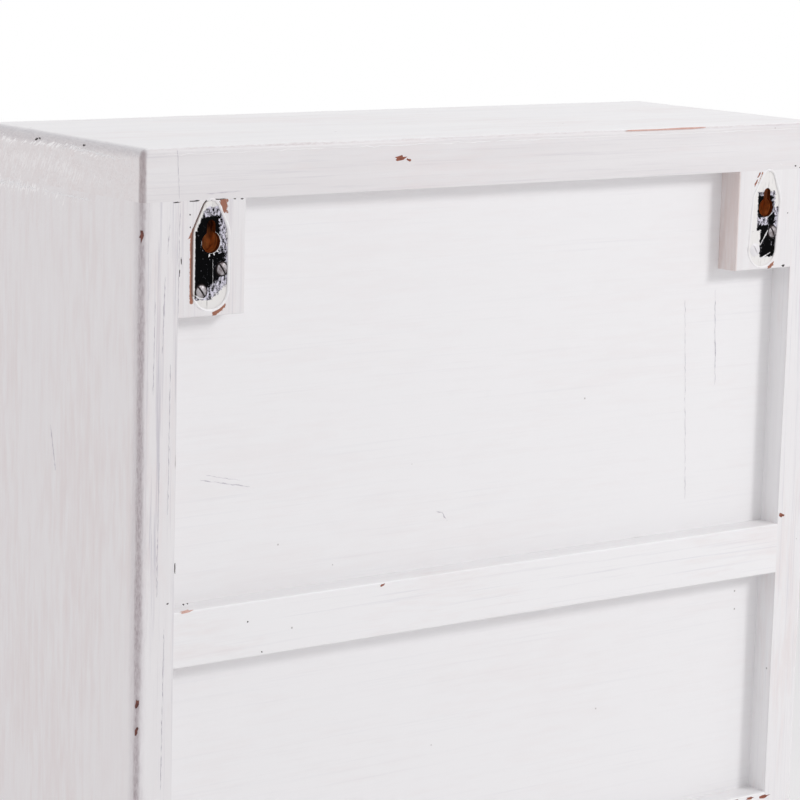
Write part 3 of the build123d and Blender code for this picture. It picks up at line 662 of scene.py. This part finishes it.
def smearedLacquer(name, centre, solid, dry, seed):
    material, tree, shader, place = newMaterial(name)
    solid = raggedAreas(tree, place, centre, solid, seed)
    dry = raggedAreas(tree, place, centre, dry, seed + 1)
    grit = grainNoise(tree, place, lacquer["grit"], seed + 2, 5.0, 0.85)
    caught = addNode(tree, "MapRange", [grit, 0.45, 0.52])
    caught = addNode(tree, "Math", [caught, dry], operation="MULTIPLY")
    flecks = addNode(tree, "MapRange", [grit, 0.62, 0.68])
    white = addNode(tree, "Math", [solid, caught], operation="MAXIMUM")
    white = addNode(tree, "Math", [white, flecks], operation="MAXIMUM")
    drag = grainNoise(tree, place, lacquer["drag"], seed + 4, 4.0, 0.7)
    thin = addNode(tree, "MapRange", [drag, 0.56, 0.72, 1.0, 0.6])
    white = addNode(tree, "Math", [white, thin], operation="MULTIPLY")
    tone = addNode(tree, "Mix", [solid, toLinear(lacquer["smear"]), toLinear(lacquer["cream"])])
    color = addNode(tree, "Mix", [white, toLinear(lacquer["black"]), tone])
    # the cut edge inside the keyhole
    near = nearKeyhole(tree, place, centre, lacquer["flatten"], lacquer["keyholeReach"])
    split = addNode(tree, "SeparateXYZ", [place])
    below = addNode(tree, "MapRange", [split.outputs[1], *lacquer["face"]])
    cut = addNode(tree, "Math", [near, below], operation="MULTIPLY")
    color = addNode(tree, "Mix", [cut, color, toLinear(lacquer["rust"])])
    gloss = addNode(tree, "MapRange", [white, 0.0, 1.0, lacquer["roughness"], lacquer["smearRoughness"]])
    height = addNode(tree, "Math", [white, drag], operation="ADD")
    bump = addNode(tree, "Bump",
                   {"Height": height, "Strength": 0.8, "Distance": lacquer["smearHeight"] * mm})
    setInputs(tree, shader, {"Base Color": color, "Roughness": gloss, "Normal": bump,
                             "Specular IOR Level": lacquer["specular"]})
    return material


dress("right_hanger_plate", smearedLacquer("smearedLacquerRight", rightPlate, rightSmears, rightDry, 3))
dress("left_hanger_plate", smearedLacquer("smearedLacquerLeft", leftPlate, leftSmears, leftDry, 8))


# Plated metals: dull zinc on the screws, bright plate on the catch, brass on the hinges
metals = {
    "zinc": {"color": "AFABAE", "stain": "64585A", "metallic": 0.85, "roughness": 0.42, "mottle": 1.6},
    "nickel": {"color": "C2C2C4", "stain": "8C8A88", "metallic": 1.0, "roughness": 0.28, "mottle": 5.0},
    "brass": {"color": "BC9650", "stain": "6E5430", "metallic": 1.0, "roughness": 0.34, "mottle": 7.0},
}
# slotShade is painted shade in the screws' slots; the rest is paint, grit and relief
metalWearAndShade = {"slotShade": "1A1212", "slotShadeDepth": 0.15, "paint": "E2E0E2", "grit": 0.5, "relief": 0.03}


def platedMetal(name, metal, seed, paintAreas=None, centre=None):
    values = metals[metal]
    material, tree, shader, place = newMaterial(name)
    stains = grainNoise(tree, place, (values["mottle"],) * 3, seed, 5.0, 0.65)
    amount = addNode(tree, "MapRange", [stains, 0.42, 0.68])
    color = addNode(tree, "Mix", [amount, toLinear(values["color"]), toLinear(values["stain"])])
    metallic = values["metallic"]
    if paintAreas:
        # the heads of the plates' screws: painted shade darkening the slots, and paint smeared over them
        split = addNode(tree, "SeparateXYZ", [place])
        slotShadeMask = addNode(tree, "MapRange", [split.outputs[1], slotFloor, slotFloor - metalWearAndShade["slotShadeDepth"]])
        color = addNode(tree, "Mix", [slotShadeMask, color, toLinear(metalWearAndShade["slotShade"])])
        painted = raggedAreas(tree, place, centre, paintAreas, seed + 6)
        color = addNode(tree, "Mix", [painted, color, toLinear(metalWearAndShade["paint"])])
        metallic = addNode(tree, "MapRange", [painted, 0.0, 1.0, values["metallic"], 0.0])
    gloss = addNode(tree, "MapRange",
                    [stains, 0.3, 0.7, values["roughness"] - 0.1, values["roughness"] + 0.2])
    fine = grainNoise(tree, place, (metalWearAndShade["grit"],) * 3, seed + 9, 3.0, 0.6)
    bump = addNode(tree, "Bump", {"Height": fine, "Strength": 0.3, "Distance": metalWearAndShade["relief"] * mm})
    setInputs(tree, shader, {"Base Color": color, "Metallic": metallic, "Roughness": gloss,
                             "Normal": bump})
    return material


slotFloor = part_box("right_plate_screws")[1].y / mm - 0.35  # mm, Y
rightPainted = [(0.8, (-110, 22.6)), (0.8, (20, 3.6), (0, 8.2))]
leftPainted = [(0.6, (-125, 11.0)), (1.6, (20, 5.0))]
metalNodes = (
    (platedMetal("zincScrewsRight", "zinc", 4, rightPainted, rightPlate), ("right_plate_screws",)),
    (platedMetal("zincScrewsLeft", "zinc", 12, leftPainted, leftPlate), ("left_plate_screws",)),
    (platedMetal("dullZinc", "zinc", 21),
     ("cleat_screws", "catch_screws", "strike_screws", "bead_pins", "knob_screw")),
    (platedMetal("brightNickel", "nickel", 22), ("strike_plate", "catch_poles")),
    (platedMetal("agedBrass", "brass", 23),
     ("upper_hinge_case_leaf", "upper_hinge_door_leaf", "upper_hinge_pin", "lower_hinge_case_leaf",
      "lower_hinge_door_leaf", "lower_hinge_pin", "hinge_case_screws", "hinge_door_screws")),
)
for material, nodes in metalNodes:
    for node in nodes:
        dress(node, material)


# Silvered float glass: a clean cold reflection, with the silver gone grey in spots by the edges
glass = {"silver": "E6EAEA", "aged": "8C857C", "spot": 3.5, "spotReach": 16.0, "agedFrom": (-9.0, 1.0),
         "roughness": 0.015, "agedRoughness": 0.3}


def silveredGlass():
    material, tree, shader, place = newMaterial("silveredGlass")
    distance = arrisDistance(tree, place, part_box("mirror_glass"))
    spots = grainNoise(tree, place, (glass["spot"],) * 3, 61, 4.0, 0.7)
    reach = addNode(tree, "MapRange", [spots, 0.55, 0.8, 0.0, glass["spotReach"]])
    inside = addNode(tree, "Math", [reach, distance], operation="SUBTRACT")
    aged = addNode(tree, "MapRange", [inside, *glass["agedFrom"], 0.0, 0.7])
    color = addNode(tree, "Mix", [aged, toLinear(glass["silver"]), toLinear(glass["aged"])])
    dull = addNode(tree, "MapRange", [aged, 0.0, 1.0, glass["roughness"], glass["agedRoughness"]])
    setInputs(tree, shader, {"Base Color": color, "Roughness": dull, "Metallic": 1.0})
    return material


# Pressed hardboard: brown felted fibres with a faint sheen
backing = {"dark": "54382A", "light": "8A6444", "fibre": (0.8, 6, 6), "crossed": (6, 6, 0.8),
           "roughness": 0.62, "relief": 0.1}


def hardboard():
    material, tree, shader, place = newMaterial("pressedHardboard")
    fibres = grainNoise(tree, place, backing["fibre"], 71, 5.0, 0.7)
    crossed = grainNoise(tree, place, backing["crossed"], 72, 5.0, 0.7)
    both = addNode(tree, "Math", [fibres, crossed], operation="MULTIPLY")
    amount = addNode(tree, "MapRange", [both, 0.12, 0.42])
    color = addNode(tree, "Mix", [amount, toLinear(backing["dark"]), toLinear(backing["light"])])
    bump = addNode(tree, "Bump", {"Height": both, "Strength": 0.4, "Distance": backing["relief"] * mm})
    setInputs(tree, shader, {"Base Color": color, "Roughness": backing["roughness"], "Normal": bump})
    return material


# Moulded ABS and pressed ferrite of the catch: satin cream with a fine texture, matt dark grey
catchParts = {
    "catch_housing": {"name": "mouldedAbs", "colors": ("DEDBD2", "D2CFC6"), "roughness": 0.42,
                      "grit": 0.7, "relief": 0.03},
    "catch_magnet": {"name": "pressedFerrite", "colors": ("2A2A2C", "1C1C1E"), "roughness": 0.6,
                     "grit": 0.4, "relief": 0.03},
}


def mouldedPart(look):
    material, tree, shader, place = newMaterial(look["name"])
    texture = grainNoise(tree, place, (look["grit"],) * 3, 81, 3.0, 0.6)
    first, second = (toLinear(color) for color in look["colors"])
    color = addNode(tree, "Mix", [texture, first, second])
    bump = addNode(tree, "Bump", {"Height": texture, "Strength": 0.5, "Distance": look["relief"] * mm})
    setInputs(tree, shader, {"Base Color": color, "Roughness": look["roughness"], "Normal": bump})
    return material


dress("mirror_glass", silveredGlass())
dress("mirror_backing", hardboard())
for node, look in catchParts.items():
    dress(node, mouldedPart(look))
print("materials ready")


# Beads, chips and scratches: paint that was pushed into ridges, and spots where it broke away
def jitter(seed, index, amount):
    return amount * noise.noise(Vector((seed * 7.3, index * 0.83, 2.1)))


def lineBetween(start, end, step=0.9, wander=0.0, seed=0):
    start, end = Vector(start), Vector(end)
    count = max(2, round((end - start).length / step))
    places = []
    for index in range(count + 1):
        place = start.lerp(end, index / count)
        place.x += jitter(seed, index, wander)
        place.z += jitter(seed + 5, index, wander)
        places.append(place)
    return places


def addBead(shape, places, radius, seed, rough=0.5):
    # a rough ridge drawn out of a small round face, step by step along the places
    made = bmesh.ops.create_circle(shape, cap_ends=True, segments=6, radius=radius * mm)
    ring = made["verts"]
    face = ring[0].link_faces[0]
    aim, size, here = Vector((0, 0, 1)), 1.0, Vector()
    last = len(places) - 1
    for index, place in enumerate(places):
        if index:
            drawn = bmesh.ops.extrude_face_region(shape, geom=[face])["geom"]
            ring = [part for part in drawn if isinstance(part, bmesh.types.BMVert)]
            face = next(part for part in drawn if isinstance(part, bmesh.types.BMFace))
        ahead = (places[min(index + 1, last)] - places[max(index - 1, 0)]).normalized()
        thick = min(1.0, 0.35 + 0.3 * index, 0.35 + 0.3 * (last - index))
        thick *= 1 + jitter(seed + 9, index * 1.7, rough * 2)
        turn = aim.rotation_difference(ahead).to_matrix().to_4x4()
        grow = Matrix.Scale(thick / size, 4)
        move = Matrix.Translation(place * mm) @ turn @ grow @ Matrix.Translation(-here)
        bmesh.ops.transform(shape, verts=ring, matrix=move)
        aim, size, here = ahead, thick, place * mm


def onBack(x, z, proud=0.0):
    # a place on the hand worked back of the case
    place = Vector((x, caseHigh[1], z))
    place.y += proud - sunkBy(place)
    return place


def onRightSide(y, z, proud=0.0):
    place = Vector((caseHigh[0], y, z))
    place.x += proud - sunkBy(place)
    return place


def addChip(shape, place, size, turn, seed, facing=0, thick=0.35):
    # A torn flake, size is half its length and half its height in mm. It faces the back, or turned
    # from there to the right side by the degrees in facing.
    made = bmesh.ops.create_circle(shape, cap_ends=True, segments=11, radius=1.0)
    for index, vert in enumerate(made["verts"]):
        vert.co *= 1 + jitter(seed, index * 1.3, 0.9)
    face = made["verts"][0].link_faces[0]
    drawn = bmesh.ops.extrude_face_region(shape, geom=[face])
    raised = [part for part in drawn["geom"] if isinstance(part, bmesh.types.BMVert)]
    bmesh.ops.translate(shape, verts=raised, vec=(0, 0, 1))
    verts = made["verts"] + raised
    bmesh.ops.scale(shape, verts=verts, vec=(size[0] * mm, size[1] * mm, thick * mm))
    bmesh.ops.rotate(shape, verts=verts, matrix=Matrix.Rotation(math.radians(turn), 3, "Z"))
    swing = Matrix.Rotation(math.radians(-facing), 3, "Z")
    stand = swing @ Matrix.Rotation(math.radians(-90), 3, "X")
    bmesh.ops.rotate(shape, verts=verts, matrix=stand)
    sink = swing @ Vector((0, thick - 0.05, 0))
    bmesh.ops.translate(shape, verts=verts, vec=(place - sink) * mm)


def closePiece(name, shape, material):
    # nothing stands out past the stated outline
    for vert in shape.verts:
        for axis in range(3):
            vert.co[axis] = min(vert.co[axis], caseHigh[axis] * mm)
    bmesh.ops.recalc_face_normals(shape, faces=shape.faces[:])
    makePiece(name, shape, material)


# Worn spots. A row says where, half the length and half the height in mm, and the turn in degrees. The
# place is X and Z on the back, or Y and Z on the right side.
wornSpots = {
    "wood_chips": {
        "material": "bareWoodChips",
        "colors": ("9C5C46", "6E3A2C"),
        "back": [
            ((60.1, 471.3), (3.3, 1.1), 6), ((55.6, 470.4), (1.2, 0.5), -20),
            ((63.9, 287.2), (1.4, 0.5), 10), ((-172.6, 292.4), (1.0, 1.8), 70),
            ((-169.9, 153.4), (3.4, 0.9), 4), ((-160.5, 154.1), (2.6, 0.6), -3),
            ((-149.0, 154.4), (4.2, 0.5), 1), ((-146.1, 452.4), (1.8, 0.5), 62),
            ((-147.9, 456.0), (1.5, 0.45), 50),
        ],
    },
    "pink_chips": {
        "material": "thinPaintChips",
        "colors": ("D9B3A8", "C79C92"),
        "back": [((164.5, 288.2), (3.3, 0.6), 4), ((-90.0, 479.0), (24.0, 0.35), 0)],
    },
    "joint_cracks": {
        "material": "grimyCracks",
        "colors": ("3A3032", "1C1618"),
        "back": [
            ((171.7, 457.6), (2.0, 0.22), 2), ((163.1, 457.8), (2.4, 0.26), 1),
            ((151.8, 458.0), (4.3, 0.24), 1), ((143.8, 457.9), (0.6, 0.25), 0),
            ((140.2, 457.7), (0.8, 0.3), 0), ((169.1, 433.7), (1.6, 0.2), 92),
            ((169.9, 429.0), (1.3, 0.22), 90), ((170.2, 307.2), (2.0, 0.2), 90),
            ((173.6, 292.7), (0.5, 0.35), 0), ((165.8, 291.4), (0.35, 0.3), 0),
            ((163.8, 291.5), (0.3, 0.25), 0), ((133.9, 280.0), (0.35, 0.3), 0),
            ((126.5, 266.1), (0.3, 0.3), 0), ((165.2, 452.4), (0.3, 0.3), 0),
            ((165.0, 447.2), (0.25, 0.3), 0), ((-170.9, 459.4), (0.5, 0.3), 0),
            ((-174.0, 458.6), (0.4, 0.3), 0), ((-167.4, 437.5), (0.3, 0.3), 0),
            ((-166.0, 412.7), (0.9, 0.5), 10),
        ],
        "side": [
            ((-5.9, 476.4), (1.2, 0.4), 20), ((-3.4, 477.0), (0.6, 0.3), -30),
            ((31.9, 477.2), (0.9, 0.3), 10),
        ],
    },
}
arrisChips = {
    "material": "arrisWood",
    "colors": ("7E4C42", "4A2C2A"),
    "inset": Vector((0.95, 0.95)),  # mm from the case's back right arris
    "turn": 88,
    "thick": 0.6,
    "spots": [(445.0, (2.3, 0.9)), (252.1, (2.2, 0.7)), (240.7, (1.6, 0.6)), (399.0, (0.8, 0.4))],
}


# Old wood and grime in the breaks: matt, fibrous, darker in the pores
breaks = {"fibre": (3.0, 1.2, 1.2), "roughness": 0.75, "relief": 0.1}


def brokenPaint(name, first, second):
    material, tree, shader, place = newMaterial(name)
    fibres = grainNoise(tree, place, breaks["fibre"], 91, 5.0, 0.7)
    amount = addNode(tree, "MapRange", [fibres, 0.35, 0.65])
    color = addNode(tree, "Mix", [amount, toLinear(first), toLinear(second)])
    bump = addNode(tree, "Bump", {"Height": fibres, "Strength": 0.5, "Distance": breaks["relief"] * mm})
    setInputs(tree, shader, {"Base Color": color, "Roughness": breaks["roughness"], "Normal": bump})
    return material


def makeWornSpots():
    for name, look in wornSpots.items():
        shape = bmesh.new()
        for index, (place, size, turn) in enumerate(look["back"]):
            addChip(shape, onBack(*place), size, turn, index + 3)
        for index, (place, size, turn) in enumerate(look.get("side", ())):
            addChip(shape, onRightSide(*place), size, turn, index + 80, facing=90)
        closePiece(name, shape, brokenPaint(look["material"], *look["colors"]))
    shape = bmesh.new()
    corner = caseHigh.xy - arrisChips["inset"]
    for index, (height, size) in enumerate(arrisChips["spots"]):
        addChip(shape, Vector((*corner, height)), size, arrisChips["turn"], index + 40, facing=45,
                thick=arrisChips["thick"])
    closePiece("arris_chips", shape, brokenPaint(arrisChips["material"], *arrisChips["colors"]))


# Ridges of thick paint, in mm: along the top board's end, and a sag under its back arris
endRidges = {
    "radius": 0.36,
    "wander": 0.9,
    "proud": -0.2,
    "lines": [((-52, 455.6), (38, 455.2)), ((-50, 456.4), (-8, 456.2)),
              ((15, 475.0), (64, 474.6)), ((20, 476.4), (60, 473.4))],  # from one Y and Z to another
    "sagRadius": 0.17,
    "sagHeight": 476.8,
    "sagWander": 0.8,
    "sagProud": -0.06,
    "sagFrom": 182,  # X, and then a step every 4 mm
    "sagStep": 4,
    "sagSteps": 91,
    "rough": 0.9,
}
# Round the hanger plates: fillets along their edges, lips round the keyholes, crumbs and brush drags.
# The mortises are wider than the plates on the side that lies left as seen from behind.
plateRidges = {
    "radius": 0.66,
    "aside": Vector((0.25, 0, 0)),
    "proud": -0.34,
    "edges": [(rightPlate, 0, 196, 120, 31), (leftPlate, 4, 184, 180, 37)],  # tilt, ends, seed
    "lipRadius": 0.12,
    "lipReach": 4.6,  # mm from the keyhole's centre
    "lips": [(rightPlate, -100, 70), (rightPlate, 170, 200), (leftPlate, -110, -20)],  # degrees
    "crumbs": [(rightPlate, -0.8, -5.3, 0.3), (rightPlate, 1.4, -4.9, 0.26),
               (rightPlate, 3.2, -3.9, 0.26), (leftPlate, 0.6, -5.1, 0.3)],  # across, up, half the length
    "drags": [(rightPlate, (1.0, -7.0), (1.1, -18.6), 0.06), (leftPlate, (1.8, -10.6), (-2.7, -17.4), 0.3),
              (leftPlate, (-2.4, -24.0), (3.9, -21.2), 0.34)],  # start, end, radius
}
plateShape = {"halfWidth": 8.5, "footDrop": 19.2, "shoulderRise": 3.0, "crownRise": 13.3,
              "crownRadius": 4.0, "gap": 0.25, "sunk": 0.8}


def plateOutline(centre, tilt, start, end, proud):
    # places along the plate's edge, anticlockwise as seen from behind, between two angles at the foot
    # and the crown
    width, crown = plateShape["halfWidth"], plateShape["crownRadius"]
    foot, shoulder, top = -plateShape["footDrop"], plateShape["shoulderRise"], plateShape["crownRise"]
    lean = math.degrees(math.asin((width - crown) / (top - shoulder)))
    arcs = [(foot, width, start, 360), (shoulder, width, 0, lean), (top, crown, lean, min(end, 180 - lean))]
    if end >= 180:
        arcs += [(shoulder, width, 180 - lean, 180), (foot, width, 180, 188)]
    turn = math.radians(tilt)
    places = []
    for rise, radius, first, last in arcs:
        steps = max(1, round((last - first) / 9))
        for index in range(steps + 1):
            angle = math.radians(first + (last - first) * index / steps)
            across = (radius + plateShape["gap"]) * math.cos(angle)
            up = rise + (radius + plateShape["gap"]) * math.sin(angle)
            leaned = across * math.cos(turn) + up * math.sin(turn)
            raised = up * math.cos(turn) - across * math.sin(turn)
            corner = onBack(centre.x - leaned, centre.z + raised, proud)
            if places and (corner - places[-1]).length > 1.5:
                places += lineBetween(places[-1], corner, 1.2)[1:]
            elif not places or (corner - places[-1]).length > 0.3:
                places.append(corner)
    return places


def onPlate(centre, across, up, proud=0.0):
    return Vector((centre.x - across, centre.y - plateShape["sunk"] + proud, centre.z + up))


def makeEndRidges(material):
    shape = bmesh.new()
    for seed, (start, end) in enumerate(endRidges["lines"]):
        count = round(abs(end[0] - start[0]))
        places = []
        for index in range(count + 1):
            y = start[0] + (end[0] - start[0]) * index / count
            z = start[1] + (end[1] - start[1]) * index / count + jitter(seed, index, endRidges["wander"])
            places.append(onRightSide(y, z, endRidges["proud"]))
        addBead(shape, places, endRidges["radius"], seed + 2, endRidges["rough"])
    places = []
    for index in range(endRidges["sagSteps"]):
        z = endRidges["sagHeight"] + jitter(3, index, endRidges["sagWander"])
        places.append(onBack(endRidges["sagFrom"] - endRidges["sagStep"] * index, z, endRidges["sagProud"]))
    addBead(shape, places, endRidges["sagRadius"], 17, endRidges["rough"])
    closePiece("end_paint_ridges", shape, material)


def makePlateRidges(material):
    shape = bmesh.new()
    for centre, tilt, start, end, seed in plateRidges["edges"]:
        places = plateOutline(centre + plateRidges["aside"], tilt, start, end, plateRidges["proud"])
        addBead(shape, places, plateRidges["radius"], seed, 0.2)
    for centre, first, last in plateRidges["lips"]:
        places = []
        for degrees in range(first, last, 11):
            angle, reach = math.radians(degrees), plateRidges["lipReach"]
            places.append(onPlate(centre, reach * math.cos(angle), reach * math.sin(angle)))
        addBead(shape, places, plateRidges["lipRadius"], first + 120, 0.8)
    for centre, across, up, size in plateRidges["crumbs"]:
        addChip(shape, onPlate(centre, across, up, 0.12), (size, size * 2.0), 20 * across, across * 9 + up)
    for centre, start, end, radius in plateRidges["drags"]:
        places = lineBetween(onPlate(centre, *start), onPlate(centre, *end), 0.8, 0.25, 3)
        addBead(shape, places, radius, 51, 0.7)
    closePiece("plate_paint_ridges", shape, material)


# Scratches on the panel and the side, and brush lines on the back. A row gives both ends, X and Z on the
# back or Y and Z on the side, and the radius of the bead, in mm.
scratches = {
    "material": "greyScratches",
    "colors": ("D2CED4", "BEB9C2"),
    "panel": [
        ((150.9, 340.1), (125.9, 334.6), 0.16), ((148.0, 341.6), (131.0, 338.0), 0.10),
        ((26.6, 313.4), (22.8, 312.4), 0.28), ((23.6, 312.8), (20.3, 308.4), 0.22),
        ((-115.6, 398.2), (-120.9, 303.1), 0.10), ((-134.2, 401.7), (-136.8, 356.5), 0.13),
        ((-135.6, 380.0), (-136.4, 368.0), 0.18),
    ],
    "back": [
        ((171.6, 478.6), (170.4, 459.0), 0.10), ((169.9, 456.5), (170.3, 412.0), 0.12),
        ((174.8, 449.0), (175.6, 437.0), 0.13), ((176.6, 428.0), (177.6, 396.0), 0.16),
        ((181.2, 418.0), (181.9, 380.0), 0.11), ((173.6, 392.0), (174.1, 330.0), 0.13),
        ((178.4, 352.0), (178.9, 296.0), 0.12), ((175.2, 282.0), (175.9, 214.0), 0.14),
        ((158.0, 460.4), (141.0, 460.9), 0.16),
    ],
    "side": ((6.9, 357.2), (11.2, 338.6), 0.22),
}


def makeScratches():
    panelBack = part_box("back_panel")[1].y / mm
    shape = bmesh.new()
    for index, (start, end, radius) in enumerate(scratches["panel"]):
        places = lineBetween((start[0], panelBack, start[1]), (end[0], panelBack, end[1]), 1.5, 0.5,
                             index)
        addBead(shape, places, radius, index + 60, 0.8)
    for index, (start, end, radius) in enumerate(scratches["back"]):
        places = lineBetween((start[0], 0, start[1]), (end[0], 0, end[1]), 1.5, 0.35, index + 20)
        places = [onBack(place.x, place.z) for place in places]
        addBead(shape, places, radius, index + 90, 1.0)
    start, end, radius = scratches["side"]
    addBead(shape, lineBetween(onRightSide(*start), onRightSide(*end), 1.2, 0.0, 4), radius, 71, 0.8)
    closePiece("panel_scratches", shape, brokenPaint(scratches["material"], *scratches["colors"]))


makeWornSpots()
thickPaint = brushedPaint("thickPaintRidges", (caseLow * mm, caseHigh * mm), grain="z", tracks=0.1,
                          wear=0.0, stipple=1.0)
makeEndRidges(thickPaint)
makePlateRidges(thickPaint)
makeScratches()
print("paint ridges, chips and scratches ready")
